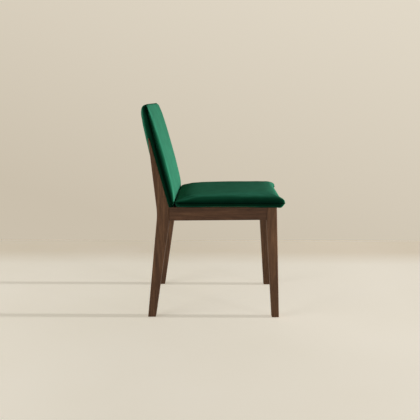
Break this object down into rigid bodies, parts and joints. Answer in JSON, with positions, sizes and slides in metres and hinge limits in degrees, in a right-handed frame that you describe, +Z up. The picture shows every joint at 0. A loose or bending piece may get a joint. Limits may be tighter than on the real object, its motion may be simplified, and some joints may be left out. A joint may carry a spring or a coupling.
{
  "type": "dining chair",
  "caption": "Upholstered dining chair: dowelled hardwood frame with tapered raked legs and stiles let into the sides of a velvet back, and a crowned velvet seat pad.",
  "frame": {"origin": "on the floor, at the middle of the chair's footprint box", "axes": "+Z up; the front of the seat faces -Y; the sitter's left is +X"},
  "size_m": [0.462, 0.564, 0.8538],
  "materials": {
    "walnut_wood": "satin lacquered, walnut stained hardwood",
    "beech_wood": "planed, unfinished beech",
    "plywood": "sanded birch plywood",
    "velvet": "emerald green short pile velvet",
    "foam": "upholstery foam",
    "lining": "black non-woven lining",
    "zinc_steel": "zinc plated",
    "nylon": "moulded nylon"
  },
  "bodies": {
    "root": {"front_leg_left": "walnut_wood", "front_leg_right": "walnut_wood", "rear_leg_left": "walnut_wood", "rear_leg_right": "walnut_wood", "side_rail_left": "walnut_wood", "side_rail_right": "walnut_wood", "front_rail": "walnut_wood", "rear_rail": "walnut_wood", "corner_block_front_left": "beech_wood", "corner_block_front_right": "beech_wood", "corner_block_rear_left": "beech_wood", "corner_block_rear_right": "beech_wood", "rail_dowels": "beech_wood", "corner_block_screws": "zinc_steel", "lower_back_rail": "beech_wood", "upper_back_rail": "beech_wood", "back_rail_dowels": "beech_wood", "back_panel": "plywood", "back_panel_screws": "zinc_steel", "back_foam": "foam", "back_cover": "velvet", "rear_pad": "foam", "rear_cover": "velvet", "seat_board": "plywood", "seat_foam": "foam", "seat_cover": "velvet", "seat_screws": "zinc_steel", "dust_cover": "lining", "floor_glides": "nylon"}
  },
  "joints": []
}
